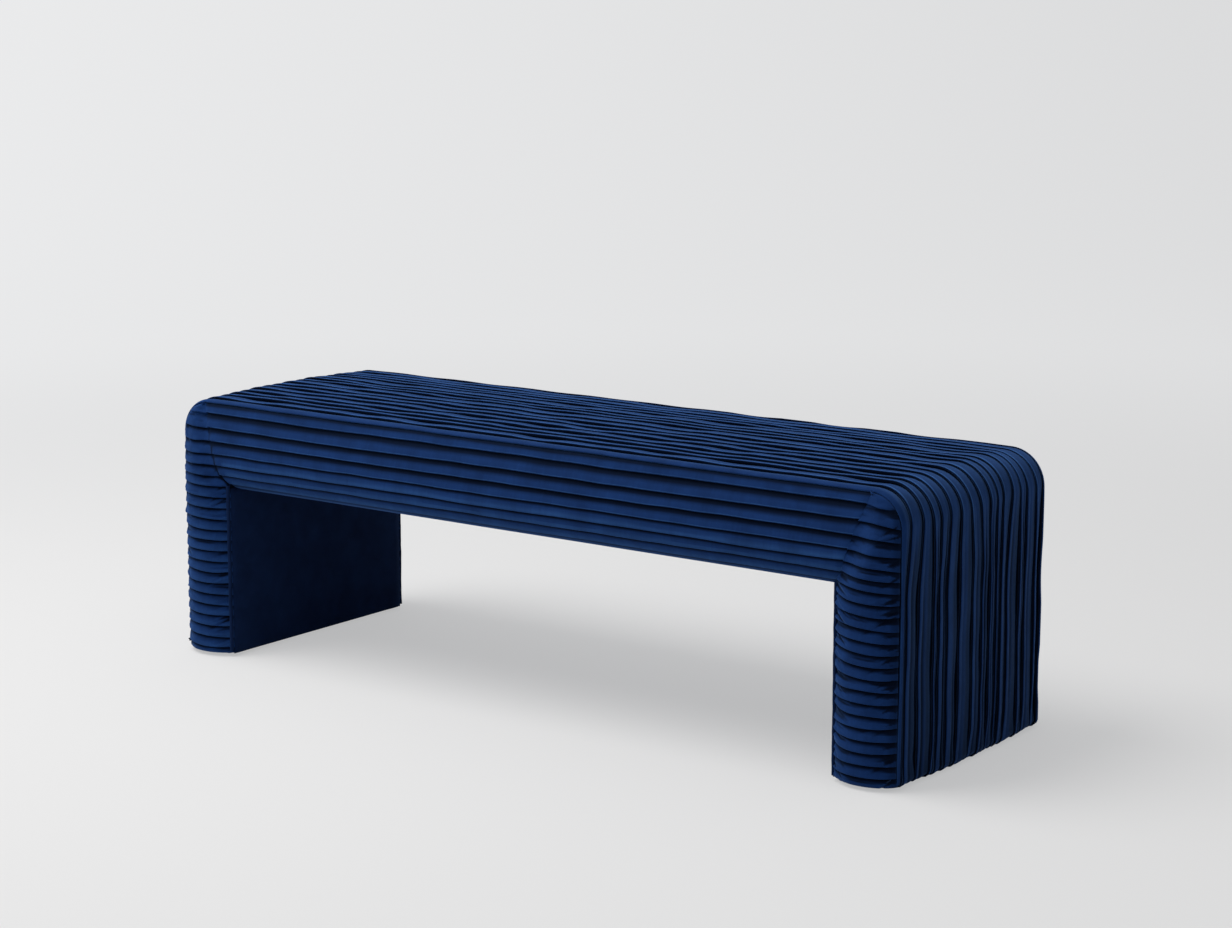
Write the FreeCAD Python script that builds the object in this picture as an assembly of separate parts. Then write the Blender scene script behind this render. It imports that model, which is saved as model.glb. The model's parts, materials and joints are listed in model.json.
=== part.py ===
"""Upholstered waterfall bench: a timber and plywood frame, foam padding and a knife-pleated velvet cover.

Millimetres. +X runs along the bench, the front faces -Y and +Z is up.
The origin is on the floor, under the middle of the seat.
"""

import FreeCAD, Part
import math
import os

from FreeCAD import Vector

# Finished sizes, over the cover
bench_length = 1475.0  # over the two outer ends
bench_height = 457.0  # floor to the crown of the seat
band_depth = 456.0  # front to back, over the seat band's two edges
leg_thickness = 120.0
beam_height = 152.0  # underside of the seat beam to the band's face, below the crown
corner_radius = 70.0  # where the seat turns down into a leg
edge_radius = 16.0  # along the front and back edges of the seat band
under_radius = 45.0  # along the lower edges of the seat beam
seat_crown = 5.0  # how far the band swells above its edges
leg_bulge = 20.0  # how far the leg fronts swell past the band's edges
beam_bulge = 10.0  # how far the beam's front swells past the band's edges
pillow_edge = 14.0  # how far the top of a leg front is drawn in

# Cover
pleat_depth = 5.0  # from the fold of a pleat down to its root
velvet = 1.5  # cloth under the roots of the pleats
plain_velvet = 2.0  # unpleated cloth on the inner leg faces and the underside
dust_cloth = 1.0
piping_diameter = 7.0  # roll along the inner edges of the legs
seat_pleats = 17
beam_pleats = 7
leg_pleats = 21

# Padding, wrapped in wadding
seat_foam = 44.0
end_foam = 26.0
front_foam = 22.0  # from the band's edge back to the frame
front_overlap = 4.0  # how far the front padding reaches in behind the band's edge

# Frame
deck_ply = 15.0
panel_ply = 12.0
base_ply = 9.0
rail_board = 22.0
rail_round = 12.0  # lower outer edge of the front and back rails
post_depth = 45.0
foot_board = 22.0
brace_height = 190.0  # floor to the middle of the brace inside a leg
corner_rail_height = 45.0
corner_rail_round = 25.0
cross_rail_spacing = 310.0
block_side = 50.0
block_height = 60.0

# Joints and feet
tenon_length = 30.0  # from the leg's inner panel into the post
tenon_height = 30.0
tenon_thickness = 10.0
glide_diameter = 26.0
glide_height = 5.0

# Faces and layers that follow from the sizes above
cover = pleat_depth + velvet
x_face = bench_length / 2 - seat_crown
z_face = bench_height - seat_crown
y_edge = band_depth / 2
x_edge = x_face - edge_radius
z_edge = z_face - edge_radius
x_turn = x_face - corner_radius  # centre of the corner where the seat turns down
z_turn = z_face - corner_radius
y_lining = y_edge - cover  # back of the pleated cover
y_padding = y_lining - front_overlap
x_inner = bench_length / 2 - leg_thickness
z_under = z_face - beam_height
z_shoulder = z_under + under_radius
y_beam = y_edge + beam_bulge
y_under = y_beam - under_radius  # where the beam's cover meets the plain underside
x_leg_cover = x_inner + piping_diameter
z_frame = glide_height + dust_cloth
z_deck = z_face - cover - seat_foam
x_frame = x_face - cover - end_foam
y_frame = y_edge - front_foam
x_panel = x_inner + plain_velvet
x_post = x_panel + panel_ply
x_post_end = x_frame - panel_ply
z_base = z_under + plain_velvet
z_rail = z_base + base_ply
z_rail_top = z_deck - deck_ply
y_rail = y_frame - rail_board
y_post = y_frame - post_depth
z_corner_rail = z_deck - corner_rail_height

ALONG = Vector(1, 0, 0)
DEEP = Vector(0, 1, 0)
UP = Vector(0, 0, 1)
SIDES = (("left", True), ("right", False))
FACES = (("front", False), ("back", True))


def block(x0, x1, y0, y1, z0, z1):
    """A box between two corners."""
    return Part.makeBox(x1 - x0, y1 - y0, z1 - z0, Vector(x0, y0, z0))


def arc(start, centre, end):
    """The shorter arc about a centre."""
    half_way = ((start - centre) + (end - centre)).normalize() * (start - centre).Length
    return Part.Arc(start, centre + half_way, end).toShape()


def run(points):
    """Straight edges through points."""
    return [Part.makeLine(a, b) for a, b in zip(points, points[1:])]


def face_of(edges):
    return Part.Face(Part.Wire(Part.__sortEdges__(edges)))


def ends(edges):
    """Where a run of edges starts and where it stops."""
    first, last = edges[0], edges[-1]
    return first.valueAt(first.FirstParameter), last.valueAt(last.LastParameter)


def flipped(shape, left, back=False):
    """A piece made for the right front, taken to the left or to the back."""
    if left:
        shape = shape.mirror(Vector(), ALONG)
    if back:
        shape = shape.mirror(Vector(), DEEP)
    return shape


def near(a, b):
    """Whether two places are the same."""
    return abs(a - b) < 0.001


def edges_where(solid, test):
    """The edges of a solid whose middle passes a test."""
    return [edge for edge in solid.Edges if test(edge.CenterOfMass)]


# Sections of the cover. Each is drawn in the YZ plane and walked from the back over the top to the front.


def band_edges():
    """The seat band's section over the folds of its pleats, before it is crowned."""
    back = Vector(0, y_edge - edge_radius, z_edge)
    front = Vector(0, edge_radius - y_edge, z_edge)
    over_back = back + UP * edge_radius
    over_front = front + UP * edge_radius
    return [
        arc(back + DEEP * edge_radius, back, over_back),
        Part.makeLine(over_back, over_front),
        arc(over_front, front, front - DEEP * edge_radius),
    ]


def crowned(point):
    """A point of the band's section, lifted by the seat's crown."""
    share = point.y / (y_edge - edge_radius)
    return point + UP * seat_crown * max(0, 1 - share**2)


def band_lining(inset):
    """The seat band's section under the pleats, this far inside their folds, with its edges cut off."""
    front_half = [
        Vector(0, 0, bench_height - inset),
        Vector(0, edge_radius + inset - y_edge, z_face - inset),
        Vector(0, inset - y_edge, z_edge),
    ]
    back_half = [Vector(0, -point.y, point.z) for point in front_half[:0:-1]]
    return run(back_half + front_half)


def beam_edges(inset):
    """The beam front's section, from the seat band's edge down and round to the underside."""
    height = z_edge - z_shoulder
    radius = (height**2 + beam_bulge**2) / (2 * beam_bulge)
    face_centre = Vector(0, radius - y_beam, z_shoulder)
    under_centre = Vector(0, -y_under, z_shoulder)
    top = face_centre + Vector(0, -math.sqrt((radius - inset) ** 2 - height**2), height)
    shoulder = Vector(0, inset - y_beam, z_shoulder)
    return [
        arc(top, face_centre, shoulder),
        arc(shoulder, under_centre, Vector(0, -y_under, z_under + inset)),
    ]


def point_along(edges, distance):
    """The point this far along a run of edges, and the way out of the cover there."""
    for edge in edges:
        if distance <= edge.Length or edge is edges[-1]:
            break
        distance -= edge.Length
    parameter = edge.getParameterByLength(min(distance, edge.Length))
    return edge.valueAt(parameter), edge.tangentAt(parameter).cross(ALONG)


def knife_pleats(edges, count):
    """Pleats over a section: each climbs from its root to its fold and then steps straight back in."""
    pitch = sum(edge.Length for edge in edges) / count
    points = []
    for index in range(count + 1):
        fold, outward = point_along(edges, index * pitch)
        points += [fold, fold - outward * pleat_depth]
    return points[1:]


def pleated_layer(folds, lining):
    """The face between a run of pleats and the lining behind it."""
    start, stop = ends(lining)
    return face_of(run([start] + folds + [stop]) + lining)


# The seat band: along the top, round both corners and down both ends


def corner_turn(section):
    """A section turned from the top to the right-hand end."""
    return section.translated(ALONG * x_turn).revolve(Vector(x_turn, 0, z_turn), DEEP, 90)


def end_drop(section, z_bottom):
    """A section carried down the right-hand end."""
    turned = section.translated(ALONG * x_turn).rotated(Vector(x_turn, 0, z_turn), DEEP, 90)
    return turned.extrude(UP * (z_bottom - z_turn))


def seat_run(section):
    """A section carried along the top, between the corners."""
    return section.translated(ALONG * -x_turn).extrude(ALONG * 2 * x_turn)


def waterfall(section):
    """A section carried over the whole bench, from foot to foot."""
    right = [corner_turn(section), end_drop(section, glide_height)]
    left = [flipped(piece, left=True) for piece in right]
    return seat_run(section).multiFuse(right + left)


def make_seat_cover():
    folds = [crowned(point) for point in knife_pleats(band_edges(), seat_pleats)]
    return waterfall(pleated_layer(folds, band_lining(cover)))


def padding_section(depth):
    """The foam under the band's cover, this deep below the band's face."""
    top = band_lining(cover)
    start, stop = ends(top)
    edge, foot = Vector(0, 0, z_edge), Vector(0, 0, z_face - depth)
    to_back, to_front = DEEP * y_padding, DEEP * -y_padding
    return face_of(top + run([stop, edge + to_front, foot + to_front, foot + to_back, edge + to_back, start]))


def make_seat_foam():
    corner = corner_turn(padding_section(corner_radius))
    slab = seat_run(padding_section(z_face - z_deck)).multiFuse([corner, flipped(corner, left=True)])
    return slab.common(block(-x_face, x_face, -y_edge, y_edge, z_deck, bench_height))


def make_end_foam(corner_rail):
    corner = corner_turn(padding_section(corner_radius))
    pad = corner.fuse(end_drop(padding_section(x_face - x_frame), z_frame))
    return pad.common(block(x_post, bench_length / 2, -y_edge, y_edge, z_frame, z_deck)).cut(corner_rail)


# The seat beam, between seams that lean outwards as they climb to the corners


def beam_outline():
    """The space between the two seams, right through the bench."""
    corners = [
        Vector(-x_leg_cover, -band_depth, z_under),
        Vector(x_leg_cover, -band_depth, z_under),
        Vector(x_turn, -band_depth, z_edge),
        Vector(-x_turn, -band_depth, z_edge),
    ]
    return face_of(run(corners + corners[:1])).extrude(DEEP * 2 * band_depth)


def leg_frame_space():
    """The timber of both legs as two plain blocks."""
    right = block(x_panel, x_frame, -y_frame, y_frame, z_frame, z_deck)
    return [right, flipped(right, left=True)]


def along_beam(section):
    """A section of the beam's front carried from seam to seam, stopping at the timber of the legs."""
    return seat_run(section).common(beam_outline()).cut(leg_frame_space())


def make_beam_cover():
    return along_beam(pleated_layer(knife_pleats(beam_edges(0), beam_pleats), beam_edges(cover)))


def make_beam_foam():
    front = beam_edges(cover)
    top, bottom = ends(front)
    back = [
        bottom,
        Vector(0, -y_under, z_rail),
        Vector(0, -y_frame, z_rail),
        Vector(0, -y_frame, z_deck),
        Vector(0, -y_padding, z_deck),
        Vector(0, -y_padding, z_edge),
        top,
    ]
    return along_beam(face_of(front + run(back)))


# A leg front, made for the right front: slanted pleats one under another, inside the outline of the panel


def leg_plan(inset, shift, z):
    """The leg front's plan, curved outwards, this far inside its folds and moved back by a shift."""
    half_width = (x_edge - x_leg_cover) / 2
    fold_radius = (half_width**2 + leg_bulge**2) / (2 * leg_bulge)
    radius = fold_radius - inset
    centre = Vector(x_leg_cover + half_width, fold_radius - leg_bulge - y_edge + shift, z)
    front = centre - DEEP * math.sqrt(radius**2 - half_width**2)
    outer, inner = front + ALONG * half_width, front - ALONG * half_width
    back = [inner, Vector(inner.x, 0, z), Vector(outer.x, 0, z), outer]
    return face_of([arc(outer, centre, inner)] + run(back))


def leg_panel(inset, y_back, z_bottom):
    """The leg front's outline as a block, inset from the band and the seam, with its top rolled over."""
    centre = Vector(x_turn, -y_back, z_turn)
    radius = corner_radius - edge_radius - inset
    corner = arc(centre + ALONG * radius, centre, centre + UP * radius)
    side, top = ends([corner])
    inner = x_leg_cover + inset
    rest = [
        top,
        Vector(inner, -y_back, z_under),
        Vector(inner, -y_back, z_bottom),
        Vector(side.x, -y_back, z_bottom),
        side,
    ]
    y_front = inset - y_edge - leg_bulge
    panel = face_of([corner] + run(rest)).extrude(DEEP * (y_front + y_back))
    rim = [
        edge
        for edge in panel.Edges
        if edge.Curve.TypeId == "Part::GeomCircle" and edge.CenterOfMass.y < -y_back
    ]
    return panel.makeChamfer(pillow_edge - inset, rim)


def make_leg_padding():
    """The crowned foam behind the leg front's cover."""
    crown = leg_plan(cover, 0, z_frame).extrude(UP * (z_edge - z_frame))
    return crown.common(leg_panel(cover, y_padding, z_frame))


def make_leg_cover():
    pitch = (z_edge - glide_height) / leg_pleats
    slant = Vector(0, -pleat_depth, -pitch)
    roots = [leg_plan(0, pleat_depth, z_edge - index * pitch) for index in range(leg_pleats)]
    pleats = [root.extrude(slant) for root in roots]
    stack = pleats[0].multiFuse(pleats[1:])
    return stack.common(leg_panel(0, y_lining, glide_height)).cut(make_leg_padding())


def make_leg_foam():
    backing = block(x_panel, x_frame, -y_padding, -y_frame, z_frame, z_deck).cut(beam_outline())
    return make_leg_padding().fuse(backing)


def make_piping():
    radius = piping_diameter / 2
    foot = Vector(x_inner + radius, -y_lining - radius, glide_height)
    return Part.makeCylinder(radius, z_under - glide_height, foot)


# Frame


def make_tenon():
    """The tenon on the right-hand end of the front rail."""
    y_middle = rail_board / 2 - y_frame
    z_middle = (z_rail + z_corner_rail) / 2
    return block(
        x_panel,
        x_post + tenon_length,
        y_middle - tenon_thickness / 2,
        y_middle + tenon_thickness / 2,
        z_middle - tenon_height / 2,
        z_middle + tenon_height / 2,
    )


def make_rail():
    rail = block(-x_panel, x_panel, -y_frame, -y_rail, z_rail, z_rail_top)
    lower_edge = edges_where(rail, lambda middle: near(middle.y, -y_frame) and near(middle.z, z_rail))
    tenon = make_tenon()
    return rail.makeFillet(rail_round, lower_edge).multiFuse([tenon, flipped(tenon, left=True)])


def make_corner_rail():
    rail = block(x_post, x_frame, -y_frame, y_frame, z_corner_rail, z_deck)
    outer_edge = edges_where(rail, lambda middle: near(middle.x, x_frame) and near(middle.z, z_deck))
    return rail.makeFillet(corner_rail_round, outer_edge)


def make_corner_block():
    corner = Vector(x_panel, -y_rail, z_rail)
    outline = [corner, corner - ALONG * block_side, corner + DEEP * block_side, corner]
    return face_of(run(outline)).extrude(UP * block_height)


def make_glide():
    """A foot glide under a post."""
    foot = Vector((x_post + x_post_end) / 2, post_depth / 2 - y_frame, 0)
    return Part.makeCylinder(glide_diameter / 2, glide_height, foot)


def four_ways(shape):
    """Copies of a right front piece in all four quarters."""
    return [flipped(shape, left, back) for _, left in SIDES for _, back in FACES]


def build():
    """Every piece of the bench, by name."""
    pieces = {
        "seat_cover": make_seat_cover(),
        "seat_foam": make_seat_foam(),
        "underside_cover": block(-x_panel, x_panel, -y_under, y_under, z_under, z_base),
        "beam_base_panel": block(-x_panel, x_panel, -y_under, y_under, z_base, z_rail),
        "seat_deck": block(-x_post, x_post, -y_frame, y_frame, z_rail_top, z_deck),
        "corner_blocks": Part.makeCompound(four_ways(make_corner_block())),
        "glides": Part.makeCompound(four_ways(make_glide())),
    }

    half_board = rail_board / 2
    for index, name in enumerate(("left", "centre", "right")):
        x = (index - 1) * cross_rail_spacing
        pieces[f"{name}_cross_rail"] = block(
            x - half_board, x + half_board, -y_rail, y_rail, z_rail, z_rail_top
        )

    beam_pieces = {"beam_cover": make_beam_cover(), "beam_foam": make_beam_foam(), "rail": make_rail()}
    for face, back in FACES:
        for name, shape in beam_pieces.items():
            pieces[f"{face}_{name}"] = flipped(shape, False, back)

    corner_rail, tenon = make_corner_rail(), make_tenon()
    inner_panel = block(x_panel, x_post, -y_frame, y_frame, z_frame, z_rail_top)
    post = block(x_post, x_post_end, -y_frame, -y_post, z_frame + foot_board, z_corner_rail)
    leg_pieces = {
        "corner_rail": corner_rail,
        "end_foam": make_end_foam(corner_rail),
        "inner_cover": block(x_inner, x_panel, -y_lining, y_lining, glide_height, z_under),
        "inner_panel": inner_panel.cut([tenon, flipped(tenon, False, back=True)]),
        "outer_panel": block(x_post_end, x_frame, -y_frame, y_frame, z_frame, z_corner_rail),
        "foot_rail": block(x_post, x_post_end, -y_frame, y_frame, z_frame, z_frame + foot_board),
        "foot_cover": block(x_panel, x_frame, -y_frame, y_frame, glide_height, z_frame),
        "leg_brace": block(
            x_post, x_post_end, -y_post, y_post, brace_height - half_board, brace_height + half_board
        ),
    }
    quarter_pieces = {
        "leg_cover": make_leg_cover(),
        "leg_foam": make_leg_foam(),
        "edge_piping": make_piping(),
        "post": post.cut(tenon),
    }
    for side, left in SIDES:
        for name, shape in leg_pieces.items():
            pieces[f"{side}_{name}"] = flipped(shape, left)
        for face, back in FACES:
            for name, shape in quarter_pieces.items():
                pieces[f"{side}_{face}_{name}"] = flipped(shape, left, back)
    return pieces


os.makedirs("parts", exist_ok=True)
for node, shape in build().items():
    shape.exportStep(f"parts/{node}.step")
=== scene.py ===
"""An upholstered bench: knife-pleated navy velvet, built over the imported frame."""

import json
import math

import bmesh
import bpy
import numpy as np
from mathutils import Matrix, Vector


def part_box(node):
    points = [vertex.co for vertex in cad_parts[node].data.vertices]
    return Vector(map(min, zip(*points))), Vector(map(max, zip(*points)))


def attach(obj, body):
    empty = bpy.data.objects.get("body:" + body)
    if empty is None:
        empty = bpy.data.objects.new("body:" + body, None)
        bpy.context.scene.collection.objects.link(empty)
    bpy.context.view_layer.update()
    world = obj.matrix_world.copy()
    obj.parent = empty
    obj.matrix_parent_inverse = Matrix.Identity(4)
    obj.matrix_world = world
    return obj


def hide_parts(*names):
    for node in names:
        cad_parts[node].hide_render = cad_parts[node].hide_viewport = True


MM = 0.001
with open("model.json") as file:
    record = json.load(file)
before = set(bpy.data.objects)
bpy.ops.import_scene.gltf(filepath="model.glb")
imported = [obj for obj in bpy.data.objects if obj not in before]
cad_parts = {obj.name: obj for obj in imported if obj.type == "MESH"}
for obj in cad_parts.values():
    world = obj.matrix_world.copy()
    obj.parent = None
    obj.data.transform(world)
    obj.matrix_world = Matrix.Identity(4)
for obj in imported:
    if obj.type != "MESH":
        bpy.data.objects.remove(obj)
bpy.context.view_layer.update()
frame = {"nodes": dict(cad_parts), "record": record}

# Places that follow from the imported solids
seat_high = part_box("seat_cover")[1]
beam_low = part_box("front_beam_cover")[0]
leg_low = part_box("right_front_leg_cover")[0]
piping_low, piping_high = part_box("right_front_edge_piping")
SEAT_CROWN = 5 * MM  # how far the seat and ends swell in the middle
CORNER_RADIUS = 60 * MM  # where the seat turns down into an end
EDGE_RADIUS = 16 * MM  # along the seat's front and back edges
UNDER_RADIUS = 45 * MM  # along the beam's lower edges
UNDER_SAG = 5 * MM  # how far the beam's padded lower edge hangs below its underside
X_FACE = seat_high.x - SEAT_CROWN
Z_FACE = seat_high.z - SEAT_CROWN
Y_EDGE = seat_high.y
Z_EDGE = Z_FACE - EDGE_RADIUS
X_TURN = X_FACE - CORNER_RADIUS
Z_TURN = Z_FACE - CORNER_RADIUS
Z_UNDER = beam_low.z
Z_SHOULDER = Z_UNDER + UNDER_RADIUS
Y_BEAM = -beam_low.y
X_LEG = leg_low.x
LEG_BULGE = -leg_low.y - Y_EDGE
Z_FOOT = leg_low.z

# How the velvet is pleated
PLEAT_HEIGHT = 5.6 * MM
FOLD_ROLL = 1.1 * MM  # radius of the roll at a fold
LAST_TUCK = 7 * FOLD_ROLL  # how far in a cloth's tucked end lies from its last fold
CREASE_WIDTH = 0.09  # share of a pleat's width that a soft crease takes up
CREASE_SHADE = 4.5 * MM  # depth of a crease whose painted shade would be fully dark
FOOT_RADIUS = 10 * MM
SEAT_PLEATS = 17
LIP_ANGLE = math.radians(43)  # how far the seat's last fold lies above the start of the front
BEAM_FOLDS = [19, 44.5, 67, 89, 108, 126, 147]  # mm down the beam's front from the seat's last fold
FLAT_FROM = 88 * MM  # from here on down, the beam's pleats lie flatter
LEG_PITCH = 19.5 * MM
TUCK = 3 * MM  # how far a front panel runs up under the seat's last fold
TUCK_DEPTH = 9 * MM  # how deep a cloth's last fold is tucked in
BACK_HEM = 10 * MM  # how far the seat cover's back edge hangs down over the back
ALLOWANCE = 11 * MM  # how far the seat cover's edge turns down behind the fronts
FOOT_TURN = 36 * MM  # how much of a leg's cover is turned under the foot
FOOT_END = -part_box("right_foot_cover")[0].y - 1 * MM  # where that ends, at the dust cloth
BAND_TURN = 28 * MM  # how much of the seat's cover is turned under a foot
LEG_EDGE = X_LEG - 6.5 * MM  # the leg front's inner edge, over the piping

# How its tone runs, as painted light: a fold value of 0 is the darkest painted shade down in a fold and 1 the
# brightest painted highlight at a fold's edge
NAP_FROM, NAP_TO = 0.62, 0.95  # between these, the velvet shows its plain nap; below them is painted shade, above them painted highlight
PAINTED_LIFT_FULL_AT = 0.9  # from here on, a band lifted by painted light has its full tone
CREST = 0.63  # share of a pleat's rows that lie before its crest

# A pleat from its root over its fold and back under it: share of its width, rolls of the fold to add, and share
# of its height
PLEAT_PROFILE = [
    (0.00, -2.6, 0.02),
    (0.00, -0.9, 0.03),
    (0.04, 0.0, 0.10),
    (0.10, 0.0, 0.25),
    (0.18, 0.0, 0.40),
    (0.30, 0.0, 0.55),
    (0.45, 0.0, 0.69),
    (0.62, 0.0, 0.82),
    (0.80, 0.0, 0.92),
    (1.00, -2.2, 0.985),
    (1.00, -1.1, 1.00),
    (1.00, -0.4, 0.95),
    (1.00, 0.0, 0.84),
    (1.00, 0.05, 0.69),
    (1.00, -0.3, 0.53),
    (1.00, -1.0, 0.37),
    (1.00, -1.9, 0.22),
]


def ease(low, high, value):
    """0 below a range, 1 above it and a smooth climb between."""
    share = np.clip((value - low) / (high - low), 0, 1)
    return share * share * (3 - 2 * share)


def wander(places, wavelength, count, rng):
    """Slow random waves between about -1 and 1 along a line of places, one row for each of count."""
    rows = np.zeros((count, len(places)))
    for _ in range(3):
        lengths = wavelength * rng.uniform(0.6, 1.8, (count, 1))
        starts = rng.uniform(0, 2 * np.pi, (count, 1))
        rows += np.sin(2 * np.pi * places / lengths + starts) / 2
    return rows


def knife_pleats(folds, heights, creases, finer=1):
    """The rows of a knife-pleated cloth: where they lie across it, how far they are lifted, and their fold values,
    which carry painted shade low in each pleat and painted highlight at its fold.

    Each pleat has a soft crease along it, at a share of its width and as deep as given, and painted darker there.
    The last fold is tucked in, at the darkest painted shade.
    """
    knots = np.arange(len(PLEAT_PROFILE))
    steps = np.linspace(0, knots[-1], finer * knots[-1] + 1)
    profile = np.stack([np.interp(steps, knots, column) for column in zip(*PLEAT_PROFILE)], axis=1)
    across, lift, share_up = [], [], []
    for start, stop, height, (middle, depth) in zip(folds, folds[1:], heights, creases):
        for share, rolls, up in profile:
            across.append(start + share * (stop - start) + rolls * FOLD_ROLL)
            crease = depth * math.exp(-(((share - middle) / CREASE_WIDTH) ** 2))
            lift.append((up - 1) * height - crease)
            share_up.append(np.full_like(start, up) - crease / CREASE_SHADE)
    across.append(folds[-1] - LAST_TUCK)
    lift.append(np.full_like(start, -TUCK_DEPTH))
    share_up.append(np.zeros_like(start))
    return np.array(across), np.array(lift), np.array(share_up)


def lift_by_painted_light(fold, share):
    """The fold values of a band lifted by painted light, a share of the way to the painted highlight of a fold's
    edge.
    """
    painted_lift = NAP_TO + (1 - NAP_TO) * share * ease(NAP_FROM, PAINTED_LIFT_FULL_AT, fold)
    return np.where(fold > NAP_FROM, painted_lift, fold)


def stood_off(place, along, across, lift):
    """Points of a surface, lifted along its outward normal."""
    step = 0.5 * MM
    to_next = place(along + step, across) - place(along - step, across)
    down = place(along, across + step) - place(along, across - step)
    normal = np.cross(down, to_next)
    length = np.linalg.norm(normal, axis=-1, keepdims=True)
    return place(along, across) + normal / np.maximum(length, 1e-12) * lift[..., None]


def new_object(name, vertices, faces):
    mesh = bpy.data.meshes.new(name)
    mesh.from_pydata(vertices, [], faces)
    mesh.shade_smooth()
    thing = bpy.data.objects.new(name, mesh)
    bpy.context.scene.collection.objects.link(thing)
    return thing


def grid_object(name, points, fold, mirrored=(False, False)):
    """A sheet from a grid of points with their fold values, mirrored left to right or front to back if asked."""
    points = points * np.array([-1 if mirrored[0] else 1, -1 if mirrored[1] else 1, 1])
    rows, columns = points.shape[:2]
    index = np.arange(rows * columns).reshape(rows, columns)
    corners = [index[:-1, :-1], index[1:, :-1], index[1:, 1:], index[:-1, 1:]]
    if mirrored[0] != mirrored[1]:
        corners.reverse()
    faces = np.stack(corners, axis=-1).reshape(-1, 4)
    sheet = new_object(name, points.reshape(-1, 3).tolist(), faces.tolist())
    # The fold values are stored for the velvet's colour ramp, which paints shade and highlight from them.
    layer = sheet.data.attributes.new("fold", "FLOAT", "POINT")
    layer.data.foreach_set("value", np.ascontiguousarray(fold, dtype=np.float32).ravel())
    return sheet


# The seat band: over the seat and down both ends


def band_path(along):
    """Where the band's face runs, from the middle of the seat to either foot, and its heading."""
    far = np.abs(along)
    turn = np.clip((far - X_TURN) / CORNER_RADIUS, 0, np.pi / 2)
    past_turn = far - X_TURN - CORNER_RADIUS * np.pi / 2
    drop = Z_TURN - Z_FOOT - FOOT_RADIUS
    under = np.clip((past_turn - drop) / FOOT_RADIUS, 0, np.pi / 2)
    inward = np.maximum(past_turn - drop - FOOT_RADIUS * np.pi / 2, 0)
    x = np.minimum(far, X_TURN) + CORNER_RADIUS * np.sin(turn)
    x = x - FOOT_RADIUS * (1 - np.cos(under)) - inward
    z = Z_FACE - CORNER_RADIUS * (1 - np.cos(turn)) - np.clip(past_turn, 0, drop)
    return x, z - FOOT_RADIUS * np.sin(under), turn + under


def band_section(across):
    """The band's section from the back edge to the front: place in depth, and height over the face."""
    quarter = EDGE_RADIUS * np.pi / 2
    top = 2 * (Y_EDGE - EDGE_RADIUS)
    back = np.clip(across / EDGE_RADIUS, 0, np.pi / 2)
    front = np.clip((across - quarter - top) / EDGE_RADIUS, 0, np.pi / 2)
    y = Y_EDGE - EDGE_RADIUS * (1 - np.cos(back)) - np.clip(across - quarter, 0, top)
    y = y - EDGE_RADIUS * np.sin(front)
    height = EDGE_RADIUS * (np.sin(back) - 1) - EDGE_RADIUS * (1 - np.cos(front))
    height += np.minimum(across, 0) - np.maximum(across - 2 * quarter - top, 0)
    crown = SEAT_CROWN * np.maximum(0, 1 - (y / (Y_EDGE - EDGE_RADIUS)) ** 2)
    return y, height + crown


def place_on_band(along, across):
    x, z, heading = band_path(along)
    y, height = band_section(across)
    x = np.sign(along) * (x + height * np.sin(heading))
    return np.stack(np.broadcast_arrays(x, y, z + height * np.cos(heading)), axis=-1)


def uneven_lines(total, count, spread, rng):
    """Lines over a length, with uneven gaps between them."""
    gaps = rng.uniform(1 - spread, 1 + spread, count)
    return np.concatenate([[0], np.cumsum(gaps) / gaps.sum() * total])[:, None]


def seat_folds(along, on_end, last_fold, rng):
    """Where the band's folds lie across it: fairly even on the seat, uneven on the ends."""
    spreads = (0.22, 0.5, 0.5)
    seat, left, right = (uneven_lines(last_fold, SEAT_PLEATS, spread, rng) for spread in spreads)
    folds = seat + (np.where(along < 0, left, right) - seat) * on_end
    folds[0] -= BACK_HEM
    for fold, closer in ((-2, 0.45), (-3, 0.40)):
        folds[fold] += closer * (folds[fold + 1] - folds[fold]) * on_end
    slow, quick = (wander(along, wavelength, len(folds), rng) for wavelength in (0.5, 0.12))
    return folds + 0.7 * MM * slow + 0.3 * MM * quick


def seat_heights(along, on_end, to_foot, pleats, rng):
    """How high the band's pleats stand: lower at the seat's back, higher on the ends and flatter at the floor."""
    heights = PLEAT_HEIGHT * (1 + 0.1 * wander(along, 0.2, pleats, rng))
    on_top = np.linspace(0.35, 1.05, pleats)[:, None]
    on_ends = rng.uniform(1.0, 1.5, (pleats, 1))
    at_floor = 0.35
    flatten = at_floor + (1 - at_floor) * ease(4 * MM, 48 * MM, to_foot)
    return heights * (on_top + (on_ends - on_top) * on_end) * flatten


def shade_seat(fold, on_end, pleats, rng):
    """Deepen the band's painted shade, most of all past each crest and on the ends, lift the seat's crests with
    painted highlight, and dim the painted tone of some pleats on the ends.
    """
    rows = (len(fold) - 1) // pleats
    back = slice(4 * rows)
    last = slice(-rows, None)
    # Powers on the fold values: under 1 lifts the crests as painted highlight; over 1 widens the painted shade, and
    # past each crest on the seat the lips are painted nearly black.
    before, past, past_at_back, past_on_ends = 0.6, 7.0, 2.0, 3.2
    on_ends = np.repeat(rng.uniform(2.0, 2.8, pleats), rows)[:, None]
    past_crest = np.tile(np.arange(rows) > rows * CREST, pleats)[:, None]
    on_top = np.where(past_crest, past, before)
    on_top[back] = np.where(past_crest, past_at_back, before)[back]
    on_top[last] = 1
    power = on_top + (np.where(past_crest, past_on_ends, 1) * on_ends - on_top) * on_end
    shaded = np.clip(fold[:-1], 0, 1) ** power
    # The seat's last pleat keeps no painted highlight; some end pleats are dimmed at random.
    shaded[last] *= 1 - (1 - NAP_TO) * (1 - on_end)
    shaded *= 1 - np.repeat(rng.uniform(0, 0.14, pleats), rows)[:, None] * on_end
    return np.concatenate([shaded, fold[-1:]])


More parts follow.
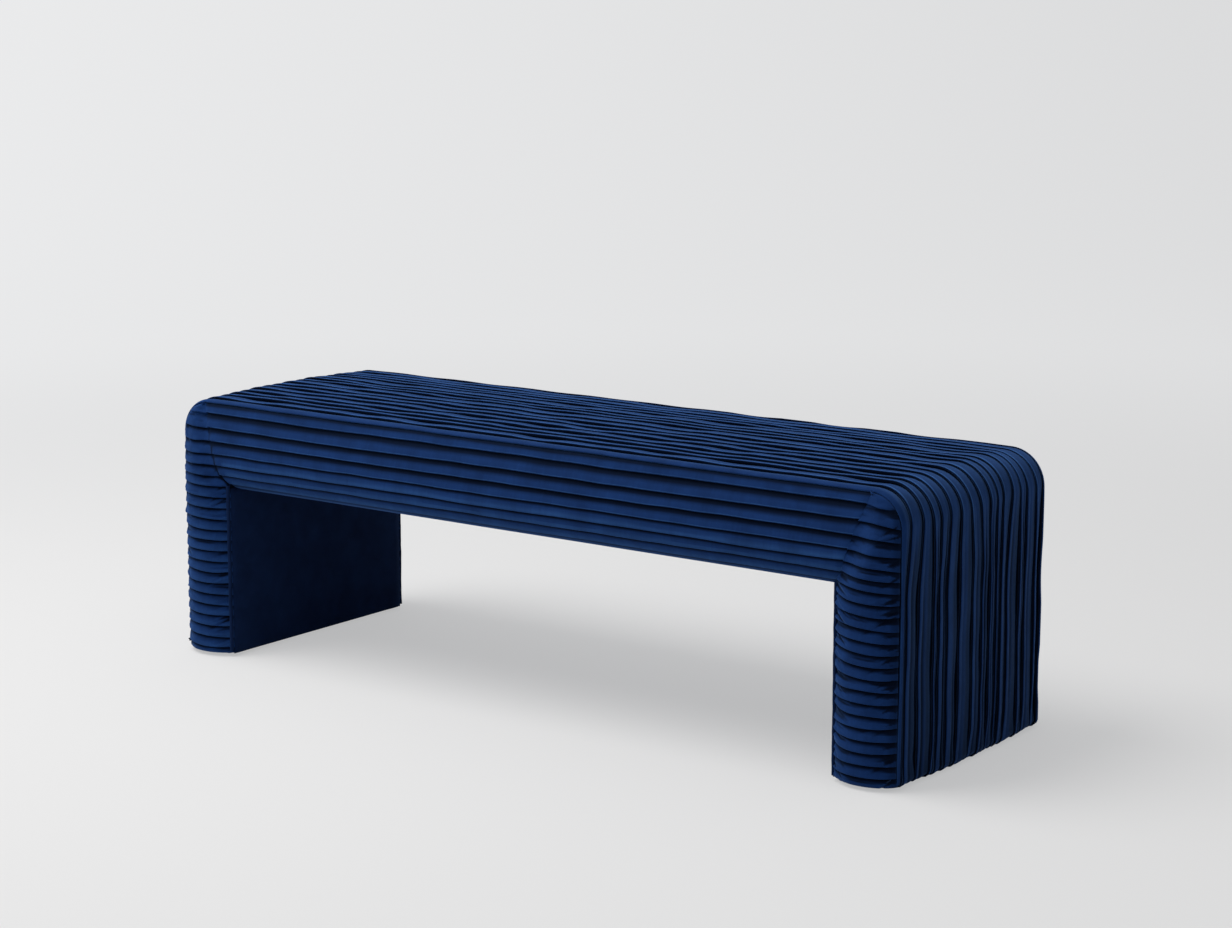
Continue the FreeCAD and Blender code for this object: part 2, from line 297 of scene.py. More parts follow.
def make_seat_cover():
    rng = np.random.default_rng(11)
    drop = Z_TURN - Z_FOOT - FOOT_RADIUS
    half = X_TURN + (CORNER_RADIUS + FOOT_RADIUS) * np.pi / 2 + drop + BAND_TURN
    along = np.linspace(-half, half, 441)
    to_foot = half - BAND_TURN - np.abs(along)
    on_end = ease(X_TURN + 20 * MM, X_TURN + 200 * MM, np.abs(along))
    last_fold = 2 * (Y_EDGE - EDGE_RADIUS) + EDGE_RADIUS * (np.pi - LIP_ANGLE)
    folds = seat_folds(along, on_end, last_fold, rng)
    pleats = len(folds) - 1
    heights = seat_heights(along, on_end, to_foot, pleats, rng)
    depths = rng.uniform(0, 1.8, (pleats, 1)) + 1.4 * np.clip(wander(along, 0.9, pleats, rng), 0, 1)
    lean = (1 - ease(-4 * MM, 63 * MM, to_foot)) * rng.uniform(4, 12, (pleats + 1, 1)) * MM
    folds = folds + lean * np.sin(np.pi * np.clip(folds / last_fold, 0, 1))
    creases = list(zip(rng.uniform(0.35, 0.75, pleats), on_end * depths * MM))
    across, lift, fold = knife_pleats(folds, heights, creases, finer=2)
    sink = 1.1 * MM * np.clip(0.4 + wander(along, 0.2, pleats, rng), 0, 1.5)
    sink[-1] = 0
    lift[:-1] -= np.repeat(sink, (len(lift) - 1) // pleats, axis=0)
    fold = shade_seat(fold, on_end, pleats, rng)
    # The seam allowance turned down behind the fronts takes fold value 0, the darkest painted shade.
    across = np.concatenate([across, folds[-1:] + ALLOWANCE])
    lift = np.concatenate([lift, np.full_like(lift[:1], -TUCK_DEPTH - 1 * MM)])
    fold = np.pad(fold, ((0, 1), (0, 0)))
    points = stood_off(place_on_band, np.broadcast_to(along, across.shape), across, lift)
    return grid_object("pleated_seat_cover", points, fold)


# The beam's front, from the seat's last fold down and round to the underside

FACE_HEIGHT = Z_EDGE - Z_SHOULDER
FACE_BULGE = Y_BEAM - Y_EDGE
FACE_RADIUS = (FACE_HEIGHT**2 + FACE_BULGE**2) / (2 * FACE_BULGE)
FACE_ANGLE = math.asin(FACE_HEIGHT / FACE_RADIUS)
ROLL_RADIUS = UNDER_RADIUS + UNDER_SAG


def seam_x(z):
    """Where the leaning seam between the beam and a leg runs."""
    return X_LEG + (X_TURN - X_LEG) * (z - Z_UNDER) / (Z_EDGE - Z_UNDER)


def beam_section(across):
    """The beam front's section: depth towards the viewer, and height."""
    lip = LIP_ANGLE - np.minimum(across / EDGE_RADIUS, LIP_ANGLE)
    face = np.clip((across - EDGE_RADIUS * LIP_ANGLE) / FACE_RADIUS, 0, FACE_ANGLE)
    past = across - EDGE_RADIUS * LIP_ANGLE - FACE_RADIUS * FACE_ANGLE
    under = np.clip(past / ROLL_RADIUS, 0, np.pi / 2)
    inward = np.maximum(past - ROLL_RADIUS * np.pi / 2, 0)
    forward = Y_EDGE - EDGE_RADIUS * (1 - np.cos(lip))
    forward += FACE_RADIUS * (np.cos(FACE_ANGLE - face) - np.cos(FACE_ANGLE))
    forward -= ROLL_RADIUS * (1 - np.cos(under)) + inward
    z = Z_EDGE + EDGE_RADIUS * np.sin(lip) - FACE_RADIUS * (np.sin(FACE_ANGLE) - np.sin(FACE_ANGLE - face))
    return forward, z - ROLL_RADIUS * np.sin(under)


def place_on_beam(along, across):
    forward, z = beam_section(across)
    reach = seam_x(z)
    to_seam = reach * (1 - np.abs(along))
    pinch = 1.2 * MM * np.exp(-np.maximum(to_seam, 0) / (2.5 * MM))
    return np.stack(np.broadcast_arrays(along * reach, pinch - forward, z), axis=-1)


def low_on_seam(z):
    """1 along the low part of the seam between the beam and a leg, fading out above it."""
    return ease(Z_UNDER - 20 * MM, Z_UNDER, z) - ease(Z_SHOULDER + 20 * MM, Z_SHOULDER + 90 * MM, z)


def shade_beam(fold, low_pleats):
    """Deepen the painted shade of the beam's pleats, less so on its low ones, which get a painted lift of light;
    the painted highlight at their edges is kept a little down.
    """
    low_rows = np.repeat(low_pleats, len(PLEAT_PROFILE))[:, None]
    on_first, on_others, on_low = 2.6, 2.0, 1.2
    power = np.where(low_rows, on_low, on_others)
    power[:len(PLEAT_PROFILE)] = on_first
    shaded = 0.975 * np.clip(fold[:-1], 0, 1) ** power
    shaded = np.where(low_rows, lift_by_painted_light(shaded, 0.2), shaded)
    return np.concatenate([shaded, fold[-1:]])


def make_beam_cover(face, back, seed):
    rng = np.random.default_rng(seed)
    length = EDGE_RADIUS * LIP_ANGLE + FACE_RADIUS * FACE_ANGLE + ROLL_RADIUS * np.pi / 2
    lines = np.array([-TUCK] + [fold * MM for fold in BEAM_FOLDS] + [length + 4 * MM])
    count = len(lines)
    along = np.linspace(-1, 1, 281)
    places = along * X_TURN
    near_seam = np.exp(-X_LEG * (1 - np.abs(along)) / (25 * MM))
    slow, quick = (wander(places, wavelength, count, rng) for wavelength in (0.45, 0.1))
    folds = lines[:, None] + 0.7 * MM * slow + 0.3 * MM * quick
    folds[1:-1] += 0.8 * MM * near_seam * wander(places, 0.6, count - 2, rng)
    heights = PLEAT_HEIGHT * (1 + 0.1 * wander(places, 0.25, count - 1, rng))
    middles = rng.uniform(0.3, 0.7, count - 1)
    depths = 0.4 * MM * np.clip(wander(places, 0.3, count - 1, rng), 0, 1)
    low_pleats = lines[:-1] > FLAT_FROM
    heights = heights * np.where(low_pleats, 0.65, 1.0)[:, None]
    across, lift, fold = knife_pleats(folds, heights, list(zip(middles, depths)))
    fold = shade_beam(fold, low_pleats)
    points = stood_off(place_on_beam, np.broadcast_to(along, across.shape), across, lift)
    from_left_seam = (1 + along) * X_LEG
    # Painted shade along the low part of the left seam.
    fold *= 1 - 0.75 * low_on_seam(points[..., 2]) * np.exp(-from_left_seam / (3.5 * MM))
    # The turned-in ends take fold value 0, the darkest painted shade.
    turn_in = np.array([2.5 * MM, 12 * MM, 0])
    left_end, right_end = points[:, :1] + turn_in * [-1, 1, 1], points[:, -1:] + turn_in
    points = np.concatenate([left_end, points, right_end], axis=1)
    fold = np.pad(fold, ((0, 0), (1, 1)))
    cover = grid_object(f"pleated_{face}_beam_cover", points, fold, (False, back))
    columns = points.shape[1]
    for edge in cover.data.edges:
        first, second = (vertex % columns for vertex in edge.vertices)
        edge.use_edge_sharp = first == second and first in (1, columns - 2)
    return cover


# A leg's front, made for the right front: from the seat's corner down to the floor

TUCK_INSET = 6 * MM  # how far the leg front's edge lies in from the seat's face
LEG_TOP = Z_FACE - TUCK_INSET
TUCK_RADIUS = CORNER_RADIUS - TUCK_INSET
LEAST_PITCH = 5 * MM  # the least gap between two folds of a leg's front

# What differs between the legs at their gathered inner edges, and in the painted light of their pleats: deeper
# painted shade and no painted highlight on the right, a slight painted lift of light on the left
LEG_LOOKS = {
    "left": {"bunched": 0.4, "raised": 1 * MM, "gathered": 0.45, "power": 1.1, "painted_lift": 0.1},
    "right": {"bunched": 1.0, "raised": 5 * MM, "gathered": 0.8, "power": 1.45, "painted_lift": 0.0},
}


def leg_sides(z):
    """The leg front's inner and outer edges at a height."""
    to_seam = (seam_x(z) - LEG_EDGE) * ease(Z_UNDER, Z_UNDER + 25 * MM, z)
    inner = np.where(z < Z_UNDER, LEG_EDGE, LEG_EDGE + to_seam)
    outer = X_TURN + np.sqrt(np.maximum(TUCK_RADIUS**2 - np.maximum(z - Z_TURN, 0) ** 2, 0))
    return inner, np.maximum(outer, inner + 0.2 * MM)


def from_corner(x, z):
    """How far out a place on the leg's front lies from the middle of the seat's rounded corner."""
    return np.hypot(np.maximum(x - X_TURN, 0), np.maximum(z - Z_TURN, 0))


def beam_forward(z):
    """How far the beam's face stands out beside the seam at a height."""
    rise = np.clip(z, Z_SHOULDER, Z_EDGE) - Z_SHOULDER
    return np.sqrt(FACE_RADIUS**2 - rise**2) - FACE_RADIUS + FACE_BULGE


def place_on_leg(along, across):
    """Along runs from the inner edge at 0 to the outer at 1, across from the top down."""
    straight = LEG_TOP - Z_FOOT - FOOT_RADIUS
    under = np.clip((across - straight) / FOOT_RADIUS, 0, np.pi / 2)
    inward = np.maximum(across - straight - FOOT_RADIUS * np.pi / 2, 0)
    z = LEG_TOP - np.minimum(across, straight) - FOOT_RADIUS * np.sin(under)
    inner, outer = leg_sides(z)
    width = outer - inner
    x = inner + along * width
    at_seam = (beam_forward(z) - 1 * MM) * ease(Z_UNDER - 10 * MM, Z_SHOULDER, z)
    bulge = LEG_BULGE * (1 - 0.85 * ease(Z_UNDER, LEG_TOP, z))
    share = np.clip(along, 0, 1)
    beside_beam = ease(Z_UNDER - 20 * MM, Z_SHOULDER + 20 * MM, z)
    below = 1 - np.abs(2 * share - 1) ** 2.3
    beside = ease(0, 0.6, share) * (1 - share**4)
    swell = below * (1 - beside_beam) + beside * beside_beam
    inset = np.clip(CORNER_RADIUS - from_corner(x, z), TUCK_INSET, EDGE_RADIUS)
    roll = EDGE_RADIUS - np.sqrt(EDGE_RADIUS**2 - (EDGE_RADIUS - inset) ** 2)
    forward = Y_EDGE + at_seam * np.clip(1 - along, 0, 1) ** 1.5 + bulge * swell - roll
    to_cloth = np.maximum(forward - FOOT_RADIUS - FOOT_END, 4 * MM)
    forward = forward - FOOT_RADIUS * (1 - np.cos(under)) - inward * to_cloth / FOOT_TURN
    return np.stack(np.broadcast_arrays(x, -forward, z), axis=-1)


def leg_lines():
    """Folds down the leg's front: in line with the beam's beside the seam, then evenly to the floor."""
    beam_lines = [beam_section(np.array(fold * MM))[1] for fold in BEAM_FOLDS]
    lines = [3 * MM] + [LEG_TOP - float(z) for z in beam_lines]
    end = LEG_TOP - Z_FOOT - FOOT_RADIUS + FOOT_RADIUS * np.pi / 2 + FOOT_TURN
    more = max(1, round((end - lines[-1]) / LEG_PITCH))
    return np.concatenate([lines, np.linspace(lines[-1], end, more + 1)[1:]])


def gathers(x, z, rng, count):
    """Short wrinkles that run from a leg front's gathered edge into it, fading as they go."""
    total = np.zeros_like(x)
    for _ in range(count):
        start, slope = rng.uniform(Z_FOOT, LEG_TOP), rng.uniform(0, 0.8)
        reach, width = rng.uniform(12, 38) * MM, rng.uniform(1.3, 2.4) * MM
        ridge = np.exp(-(((z - start + slope * x) / width) ** 2))
        total += rng.uniform(-2, 2) * MM * ridge * np.exp(-((x / reach) ** 2))
    return total


def leg_folds(lines, along, places, free, left, rng):
    """The folds of a leg's front along their lines: sloping, and bunched up where free of the beam."""
    look = LEG_LOOKS["left" if left else "right"]
    count = len(lines)
    inside = np.exp(-places / (16 * MM))
    outside = np.exp(-(places[-1] - places) / (14 * MM))
    bunch = rng.uniform(-5, 5, (count, 1)) * MM * look["bunched"] - look["raised"]
    if left:
        droop = 5 * MM * (1 - along) * free
    else:
        droop = 7 * MM * along * ease(Z_FOOT, Z_UNDER, LEG_TOP - lines)[:, None]
    droop[0] = 0
    folds = lines[:, None] + droop + 0.6 * MM * wander(places, 0.12, count, rng)
    folds = folds + (bunch * free + 1.0 * MM * (1 - free)) * inside
    folds = folds + rng.uniform(-2.5, 2.5, (count, 1)) * MM * outside
    least = LEAST_PITCH * np.arange(count)[:, None]
    folds = np.maximum.accumulate(folds - least, axis=0) + least
    heights = PLEAT_HEIGHT * (1 + 0.15 * wander(places, 0.08, count - 1, rng))
    return folds, heights * (1 - 0.35 * inside * free[1:])


def shade_leg(fold, wrinkles, z, to_inner, to_outer, left):
    """The fold values of a leg's front, deepened by its look's power: painted shade in its wrinkles' valleys,
    towards its outer edge and, on the left legs, along the low seam; painted highlight on its wrinkles' ridges; and
    near its top, painted shade held no darker than the plain nap.
    """
    look = LEG_LOOKS["left" if left else "right"]
    # Wrinkle valleys painted darker, ridges painted lighter.
    fold = fold + np.clip(wrinkles / (2.4 * MM), -0.7, 0.12) * (fold > 0.2)
    # The look's power deepens the painted shade; scaled to the plain nap, the leg has no painted highlight beyond
    # the painted lift its look gives it.
    fold = lift_by_painted_light(np.clip(fold, 0, 1) ** look["power"] * NAP_TO, look["painted_lift"])
    # Painted shade towards the outer edge.
    fold = fold * (1 - 0.5 * np.exp(-((to_outer / (16 * MM)) ** 2)))
    # Near the top, painted shade no darker than the plain nap.
    fold = np.maximum(fold, 0.7 * ease(LEG_TOP - 30 * MM, LEG_TOP - 14 * MM, z))
    # Painted shade along the low part of the left seam.
    if left:
        fold = fold * (1 - 0.85 * low_on_seam(z) * np.exp(-to_inner / (5 * MM)))
    return fold


def make_leg_cover(name, left, back, seed):
    rng = np.random.default_rng(seed)
    lines = leg_lines()
    pleats = len(lines) - 1
    along = np.linspace(0, 1, 71) ** 1.15
    places = along * (X_FACE - LEG_EDGE)
    free = 1 - ease(Z_UNDER - 5 * MM, Z_SHOULDER, LEG_TOP - lines)[:, None]
    folds, heights = leg_folds(lines, along, places, free, left, rng)
    depths = 1.1 * MM * np.clip(wander(places, 0.1, pleats, rng), 0, 1)
    creases = list(zip(rng.uniform(0.3, 0.7, pleats), depths))
    across, lift, fold = knife_pleats(folds, heights, creases, finer=2)

    along = np.broadcast_to(along, across.shape)
    x, _, z = np.moveaxis(place_on_leg(along, across), -1, 0)
    inner, outer = leg_sides(z)
    to_inner, to_outer = x - inner, outer - x
    to_edge = TUCK_RADIUS - from_corner(x, z)
    inner_share = LEG_LOOKS["left" if left else "right"]["gathered"] * (1 - 0.7 * ease(Z_UNDER, Z_SHOULDER, z))
    wrinkles = inner_share * gathers(to_inner, z, rng, 150) + 0.55 * gathers(to_outer, z, rng, 90)
    wrinkles = wrinkles * ease(-1 * MM, 6 * MM, np.minimum(to_edge, to_inner))
    lift = lift * (0.3 + 0.7 * ease(0, 18 * MM, to_edge))
    points = stood_off(place_on_leg, along, across, lift + wrinkles)
    if back:
        points[..., 1] += 5 * MM * (1 - ease(0, 14 * MM, to_edge))
    fold = shade_leg(fold, wrinkles, z, to_inner, to_outer, left)

    # The turned-in and tucked-in edges take fold value 0, the darkest painted shade; the row tucked under the seat
    # takes the painted tone of the top row.
    turn_in = points[:, :1] + np.array([1.5 * MM, 46 * MM, 0])
    tuck_in = points[:, -1:] + np.array([-6 * MM, 8 * MM, 0])
    points = np.concatenate([turn_in, points, tuck_in], axis=1)
    fold = np.pad(fold, ((0, 0), (1, 1)))
    top = points[:1] + np.array([0, 8 * MM, -6 * MM])
    points = np.concatenate([top, points])
    fold = np.pad(fold, ((1, 0), (0, 0)), mode="edge")
    return grid_object(name, points, fold, (left, back))


# Plain velvet and dust cloth: flat panels turned in at their edges

PANEL_STEP = 12 * MM  # how far apart a panel's points lie
PANEL_EDGE = 0.4 * MM  # how wide its turned edge is
PANEL_RIPPLE = 0.4 * MM
PLAIN_NAP = 0.9  # the fold value of flat cloth


def make_panel(name, low, high, facing, seed):
    """A thin stretched panel over a solid's box, on the side that it faces."""
    rng = np.random.default_rng(seed)
    axis = int(np.argmax(np.abs(facing)))
    first, second = [other for other in range(3) if other != axis]
    out = 1 if facing[axis] > 0 else -1
    low, high = np.array(low), np.array(high)
    face, behind = (high[axis], low[axis]) if out > 0 else (low[axis], high[axis])
    steps = [max(8, round((high[k] - low[k]) / PANEL_STEP)) for k in (first, second)]
    lines = [np.linspace(low[k], high[k], n + 1) for k, n in zip((first, second), steps)]
    lines = [np.insert(line, [1, len(line) - 1], [line[0] + PANEL_EDGE, line[-1] - PANEL_EDGE]) for line in lines]
    grid = np.zeros((len(lines[1]), len(lines[0]), 3))
    grid[..., first] = lines[0][None, :]
    grid[..., second] = lines[1][:, None]
    ripple = wander(lines[0], 0.3, 1, rng) * wander(lines[1], 0.2, 1, rng).T
    grid[..., axis] = face + out * np.clip(ripple, -1, 0) * PANEL_RIPPLE
    grid[[0, -1], :, axis] = behind
    grid[:, [0, -1], axis] = behind
    if (out > 0) == (axis != 1):
        grid = grid[::-1]
    return grid_object(name, grid, np.full(grid.shape[:2], PLAIN_NAP))


def make_piping(name, left, back, seed):
    """The sewn roll up a leg's inner edge, a little uneven along its length."""
    rng = np.random.default_rng(seed)
    radius = (piping_high.x - piping_low.x) / 2
    x_mid, y_mid = piping_low.x + radius, piping_low.y + radius
    z = np.linspace(piping_low.z + 4 * MM, piping_high.z + 6 * MM, 60)
    round_it = np.linspace(0, 2 * np.pi, 17)
    swell = radius * (0.94 + 0.05 * wander(z, 0.03, 1, rng)[0])
    bend = 0.4 * MM * wander(z, 0.09, 2, rng)
    x = x_mid + bend[0][:, None] + swell[:, None] * np.cos(round_it)
    y = y_mid + bend[1][:, None] + swell[:, None] * np.sin(round_it)
    points = np.stack(np.broadcast_arrays(x, y, z[:, None]), axis=-1)[::-1]
    return grid_object(name, points, np.full(points.shape[:2], PLAIN_NAP), (left, back))


# A glide from its middle underneath to its middle on top: mm out, and mm up of its 5
GLIDE_OUTLINE = [(0, 0.25), (2.4, 0.25), (2.6, 0.5), (3.0, 0.5), (3.6, 0.1), (9, 0.0), (11.6, 0.25), (12.7, 1.1)]
GLIDE_OUTLINE += [(13, 2.2), (13, 5.0), (0, 5.0)]
GLIDE_RADIUS, GLIDE_DEPTH = 13 * MM, 5
GLIDE_STEPS = 40


def make_glides():
    """Four moulded foot glides, each domed underneath with a nail at its middle."""
    low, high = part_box("glides")
    depth = high.z - low.z
    turns = [step / GLIDE_STEPS * 2 * math.pi for step in range(GLIDE_STEPS)]
    mesh = bmesh.new()
    for x in (low.x + GLIDE_RADIUS, high.x - GLIDE_RADIUS):
        for y in (low.y + GLIDE_RADIUS, high.y - GLIDE_RADIUS):
            rings = []
            for reach, up in GLIDE_OUTLINE:
                out, z = reach * MM, low.z + up / GLIDE_DEPTH * depth
                spots = [(x + out * math.cos(turn), y + out * math.sin(turn), z) for turn in turns]
                rings.append([mesh.verts.new(spot) for spot in spots])
            for upper, lower in zip(rings[1:], rings):
                for step in range(GLIDE_STEPS):
                    after = (step + 1) % GLIDE_STEPS
                    mesh.faces.new((lower[step], upper[step], upper[after], lower[after]))
    bmesh.ops.remove_doubles(mesh, verts=mesh.verts, dist=1e-6)
    bmesh.ops.recalc_face_normals(mesh, faces=mesh.faces)
    data = bpy.data.meshes.new("turned_glides")
    mesh.to_mesh(data)
    mesh.free()
    data.shade_smooth()
    thing = bpy.data.objects.new("turned_glides", data)
    bpy.context.scene.collection.objects.link(thing)
    return thing


# How far out the foam may reach, to stay behind its covers
FOAM_DEPTH = Y_EDGE - 14 * MM
FOAM_LOW, FOAM_HIGH = Z_FOOT + FOOT_RADIUS, Z_FACE - 10 * MM
FOAM_LEG_INSIDE, FOAM_OUTSIDE = X_LEG + 8 * MM, X_FACE - 15 * MM


def make_foam(node):
    """A foam piece: its solid softened all over and drawn in a little from the cover."""
    solid = frame["nodes"][node]
    pad = bpy.data.objects.new(f"soft_{node}", solid.data.copy())
    bpy.context.scene.collection.objects.link(pad)
    remesh = pad.modifiers.new("soften", "REMESH")
    remesh.mode = "VOXEL"
    remesh.voxel_size = 7 * MM
    remesh.use_smooth_shade = True
    smooth = pad.modifiers.new("round", "SMOOTH")
    smooth.factor, smooth.iterations = 0.5, 4
    evaluated = pad.evaluated_get(bpy.context.evaluated_depsgraph_get())
    softened = bpy.data.meshes.new_from_object(evaluated)
    pad.modifiers.clear()
    pad.data = softened
    inside = FOAM_LEG_INSIDE if "_leg_" in node else 0
    for vertex in softened.vertices:
        x, y, z = vertex.co
        x = math.copysign(min(max(abs(x), inside), FOAM_OUTSIDE), x)
        vertex.co = x, min(max(y, -FOAM_DEPTH), FOAM_DEPTH), min(max(z, FOAM_LOW), FOAM_HIGH)
    return pad


# Materials


class Nodes:
    """A material's nodes, added and joined by name."""

    def __init__(self, name):
        self.material = bpy.data.materials.new(name)
        self.material.use_nodes = True
        self.tree = self.material.node_tree
        self.shader = self.tree.nodes["Principled BSDF"]

    def add(self, kind, **settings):
        node = self.tree.nodes.new(kind)
        for key, value in settings.items():
            if key in node.inputs:
                node.inputs[key].default_value = value
            else:
                setattr(node, key, value)
        return node

    def join(self, source, target):
        self.tree.links.new(source, target)

    def ramp(self, source, *stops):
        """A colour ramp over a value: stops are (place, colour)."""
        node = self.add("ShaderNodeValToRGB")
        elements = node.color_ramp.elements
        while len(elements) < len(stops):
            elements.new(0.5)
        for element, (place, colour) in zip(elements, stops):
            element.position = place
            element.color = (*colour, 1)
        self.join(source, node.inputs["Fac"])
        return node.outputs["Color"]


def object_noise(nodes, scale, detail=4, stretch=(1, 1, 1)):
    """Noise over the object's own space, stretched along an axis if asked."""
    place = nodes.add("ShaderNodeTexCoord").outputs["Object"]
    mapping = nodes.add("ShaderNodeMapping", Scale=stretch)
    nodes.join(place, mapping.inputs["Vector"])
    noise = nodes.add("ShaderNodeTexNoise", Scale=scale, Detail=detail)
    nodes.join(mapping.outputs["Vector"], noise.inputs["Vector"])
    return noise.outputs["Fac"]


def velvet(name, root, nap, edge, sheen):
    """Velvet whose colour carries painted light: painted shade down in its folds, its plain nap between, and a
    painted highlight towards each fold's edge.
    """
    nodes = Nodes(name)
    shader = nodes.shader
    fold = nodes.add("ShaderNodeAttribute", attribute_name="fold").outputs["Fac"]
    # The ramp runs from painted shade, through the plain nap, to painted highlight.
    dim, half_lit = (tuple(low + share * (high - low) for low, high in zip(root, nap)) for share in (0.10, 0.65))
    stops = ((0.10, root), (0.30, dim), (0.45, half_lit), (NAP_FROM, nap), (NAP_TO, nap), (1.0, edge))
    colour = nodes.ramp(fold, *stops)
    patches = nodes.ramp(object_noise(nodes, 22, 5), (0.3, (0.78, 0.78, 0.80)), (0.7, (1.15, 1.15, 1.15)))
    strokes = object_noise(nodes, 220, 3, (1, 0.15, 0.15))
    streaks = nodes.ramp(strokes, (0.3, (0.93, 0.93, 0.93)), (0.7, (1.06, 1.06, 1.06)))
    for shade in (patches, streaks):
        mix = nodes.add("ShaderNodeMix", data_type="RGBA", blend_type="MULTIPLY")
        mix.inputs["Factor"].default_value = 1
        nodes.join(colour, mix.inputs["A"])
        nodes.join(shade, mix.inputs["B"])
        colour = mix.outputs["Result"]
    nodes.join(colour, shader.inputs["Base Color"])
    pile = nodes.add("ShaderNodeBump", Strength=0.15, Distance=0.5 * MM)
    nodes.join(object_noise(nodes, 1400, 2), pile.inputs["Height"])
    creases = nodes.add("ShaderNodeBump", Strength=0.2, Distance=1.2 * MM)
    nodes.join(object_noise(nodes, 70, 3), creases.inputs["Height"])
    nodes.join(pile.outputs["Normal"], creases.inputs["Normal"])
    nodes.join(creases.outputs["Normal"], shader.inputs["Normal"])
    shader.inputs["Roughness"].default_value = 0.8
    shader.inputs["Specular IOR Level"].default_value = 0.03
    shader.inputs["Sheen Weight"].default_value = sheen
    shader.inputs["Sheen Roughness"].default_value = 0.45
    shader.inputs["Sheen Tint"].default_value = (0.18, 0.41, 1, 1)
    return nodes.material


def mottled(name, dark, light, scale, roughness, depth, stretch):
    """A surface mottled between two colours, with a bump of the same pattern."""
    nodes = Nodes(name)
    noise = object_noise(nodes, scale, 6, stretch)
    nodes.join(nodes.ramp(noise, (0.3, dark), (0.7, light)), nodes.shader.inputs["Base Color"])
    bump = nodes.add("ShaderNodeBump", Strength=0.4, Distance=depth)
    nodes.join(noise, bump.inputs["Height"])
    nodes.join(bump.outputs["Normal"], nodes.shader.inputs["Normal"])
    nodes.shader.inputs["Roughness"].default_value = roughness
    return nodes.material


# Velvet: name, painted shade down in the folds, the colour of the nap, painted highlight at a fold's edge, and how
# much sheen
VELVETS = {
    "pleated_velvet": ("pleated velvet", (0.0005, 0.002, 0.008), (0.0062, 0.0258, 0.102), (0.042, 0.13, 0.34), 0.3),
    # The plain velvet is the same navy cloth set darker than the pleated nap as painted shade, and used on the
    # inner faces, underside and piping.
    "plain_velvet": ("shaded plain velvet", (0.003, 0.008, 0.028), (0.005, 0.0145, 0.052), (0.006, 0.0165, 0.06), 0.06),
}
# Other surfaces: name, two colours, scale of the mottling, roughness, depth of the bump, and stretch of the grain
SURFACES = {
    "dust_cloth": ("dust cloth", (0.012, 0.012, 0.013), (0.03, 0.03, 0.033), 900, 0.9, 0.3 * MM, (1, 1, 1)),
    "foam": ("foam", (0.62, 0.56, 0.41), (0.78, 0.72, 0.56), 500, 0.95, 0.6 * MM, (1, 1, 1)),
    "plywood": ("birch plywood", (0.5, 0.35, 0.2), (0.66, 0.5, 0.32), 14, 0.6, 0.2 * MM, (1, 9, 9)),
    "pine": ("planed pine", (0.55, 0.37, 0.19), (0.74, 0.56, 0.34), 10, 0.55, 0.2 * MM, (1, 12, 12)),
    "glide_plastic": ("moulded plastic", (0.035, 0.03, 0.027), (0.06, 0.054, 0.048), 240, 0.5, 0.1 * MM, (1, 1, 1)),
}


def make_materials():
    """A material for each slot of the record."""
    materials = {slot: velvet(*look) for slot, look in VELVETS.items()}
    return materials | {slot: mottled(*look) for slot, look in SURFACES.items()}


# Putting the bench together


def dress(thing, material, slot, *nodes):
    """Give a piece its material, hang it under the root body, and hide the nodes that it stands for. The slot
    argument is not used.
    """
    thing.data.materials.clear()
    thing.data.materials.append(material)
    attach(thing, "root")
    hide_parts(*nodes)
    return thing


def build_bench(materials):
    pleated, plain = materials["pleated_velvet"], materials["plain_velvet"]
    seat = dress(make_seat_cover(), pleated, "pleated_velvet", "seat_cover")
    under = make_panel("plain_underside_cover", *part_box("underside_cover"), (0, 0, -1), 5)
    dress(under, plain, "plain_velvet", "underside_cover")
    dress(make_glides(), materials["glide_plastic"], "glide_plastic", "glides")

    for face, back in (("front", False), ("back", True)):
        cover = make_beam_cover(face, back, 31 + back)
        dress(cover, pleated, "pleated_velvet", f"{face}_beam_cover")

    for side, left in (("left", True), ("right", False)):
        inward = (1 if left else -1, 0, 0)
        inner = make_panel(f"plain_{side}_inner_cover", *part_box(f"{side}_inner_cover"), inward, 7 + left)
        dress(inner, plain, "plain_velvet", f"{side}_inner_cover")
        foot = make_panel(f"dust_{side}_foot_cover", *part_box(f"{side}_foot_cover"), (0, 0, -1), 17 + left)
        dress(foot, materials["dust_cloth"], "dust_cloth", f"{side}_foot_cover")
        for face, back in (("front", False), ("back", True)):
            corner = f"{side}_{face}"
            seed = 41 + 2 * left + back
            leg = make_leg_cover(f"pleated_{corner}_leg_cover", left, back, seed)
            dress(leg, pleated, "pleated_velvet", f"{corner}_leg_cover")
            piping = make_piping(f"sewn_{corner}_edge_piping", left, back, seed)
            dress(piping, plain, "plain_velvet", f"{corner}_edge_piping")

    slots = {entry["node"]: entry["material_slot"] for entry in frame["record"]["subparts"]}
    for node, slot in slots.items():
        solid = frame["nodes"][node]
        if slot == "foam":
            dress(make_foam(node), materials["foam"], "foam", node)
        elif not solid.hide_render:
            solid.data.materials.clear()
            solid.data.materials.append(materials[slot])


# Studio

CAMERA_AZIMUTH = math.radians(36.46)
CAMERA_ELEVATION = math.radians(10.6)
CAMERA_BACK, CAMERA_RIGHT, CAMERA_UP = 4.7068, 0.0407, 0.3726
CAMERA_LENS = 81.4


